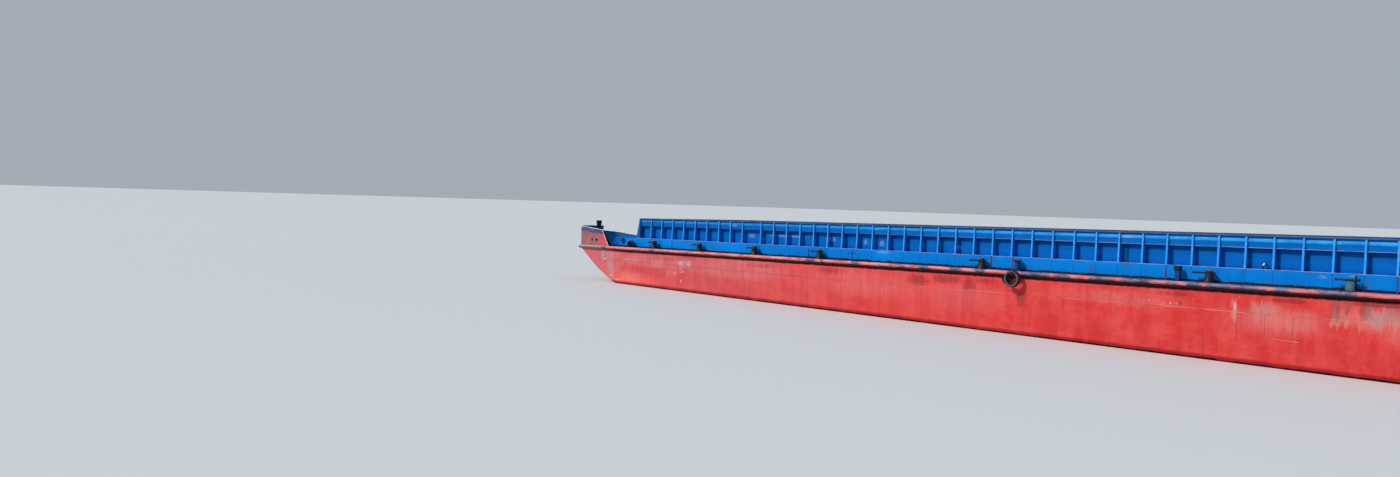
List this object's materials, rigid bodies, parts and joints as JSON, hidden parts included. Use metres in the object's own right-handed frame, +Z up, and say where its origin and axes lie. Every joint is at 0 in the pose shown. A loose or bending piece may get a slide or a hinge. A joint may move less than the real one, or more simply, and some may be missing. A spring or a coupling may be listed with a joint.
{
  "type": "open hopper river barge, 1:2 scale model",
  "caption": "Long open hopper river barge with raked ends, a ribbed coaming round the hold, fender pipes, bulwarks and deck bollards, at half real size.",
  "frame": {"origin": "on the flat bottom, midway between the fenders fore and aft and on the centreline", "axes": "+X towards the bow, +Y to port, +Z up"},
  "size_m": [36.2, 7.588, 3.118],
  "materials": {
    "hull_red": "worn red ship paint, satin",
    "coaming_blue": "worn bright blue ship paint, satin",
    "rail_worn": "rubbed grey paint over steel",
    "fender_red": "sun-bleached red paint scraped to dark steel",
    "deck_coating": "rough brown-grey deck paint with rust",
    "fitting_black": "black paint with rust",
    "tyre_rubber": "weathered black rubber",
    "rope_fibre": "dirty fibre rope",
    "steel_rusty": "brown painted steel with rust"
  },
  "bodies": {
    "hull": {"double_bottom": "hull_red", "wing_tank_port": "hull_red", "wing_tank_starboard": "hull_red", "stern_rake": "hull_red", "bow_rake": "hull_red", "deck_aft": "deck_coating", "deck_fore": "deck_coating", "skeg_port": "hull_red", "skeg_starboard": "hull_red", "side_deck_port": "fitting_black", "side_deck_starboard": "fitting_black", "coaming_base_port": "coaming_blue", "coaming_wall_port": "coaming_blue", "coaming_rail_port": "rail_worn", "coaming_base_starboard": "coaming_blue", "coaming_wall_starboard": "coaming_blue", "coaming_rail_starboard": "rail_worn", "coaming_base_aft": "coaming_blue", "coaming_wall_aft": "coaming_blue", "coaming_rail_aft": "rail_worn", "coaming_base_fore": "coaming_blue", "coaming_wall_fore": "coaming_blue", "coaming_rail_fore": "rail_worn", "fender_port": "fender_red", "fender_bow_port": "fender_red", "fender_quarter_port": "fender_red", "bulwark_inboard_port": "coaming_blue", "bulwark_side_port": "hull_red", "bulwark_quarter_port": "hull_red", "bulwark_bow_port": "hull_red", "tyre_port": "tyre_rubber", "tyre_rope_port": "rope_fibre", "bollard_stern_port": "fitting_black", "bitts_bow_port": "fitting_black", "vent_aft_port": "steel_rusty", "vent_fore_port": "steel_rusty", "fender_starboard": "fender_red", "fender_bow_starboard": "fender_red", "fender_quarter_starboard": "fender_red", "bulwark_inboard_starboard": "coaming_blue", "bulwark_side_starboard": "hull_red", "bulwark_quarter_starboard": "hull_red", "bulwark_bow_starboard": "hull_red", "tyre_starboard": "tyre_rubber", "tyre_rope_starboard": "rope_fibre", "bollard_stern_starboard": "fitting_black", "bitts_bow_starboard": "fitting_black", "vent_aft_starboard": "steel_rusty", "vent_fore_starboard": "steel_rusty", "fender_stern": "fender_red", "bulwark_transom_port": "hull_red", "bulwark_transom_starboard": "hull_red", "winch_frame": "steel_rusty", "hatch_coaming_aft": "coaming_blue", "ladder_aft": "steel_rusty", "hatch_coaming_fore": "coaming_blue", "ladder_fore": "steel_rusty"},
    "hatch_lid_aft": {"hatch_lid_aft": "coaming_blue"},
    "hatch_lid_fore": {"hatch_lid_fore": "coaming_blue"},
    "winch_drum": {"winch_drum": "steel_rusty"}
  },
  "joints": [
    {"name": "hatch_lid_aft_hinge", "type": "hinge", "parent": "hull", "child": "hatch_lid_aft", "pos_m": [-15.632, 1.3, 2.174], "axis": [0, -1, 0], "range_deg": [0, 100]},
    {"name": "hatch_lid_fore_hinge", "type": "hinge", "parent": "hull", "child": "hatch_lid_fore", "pos_m": [13.268, -1.5, 2.174], "axis": [0, -1, 0], "range_deg": [0, 100]},
    {"name": "winch_drum_turn", "type": "hinge", "parent": "hull", "child": "winch_drum", "pos_m": [14.35, 0, 2.2903], "axis": [0, 1, 0], "continuous": true}
  ]
}
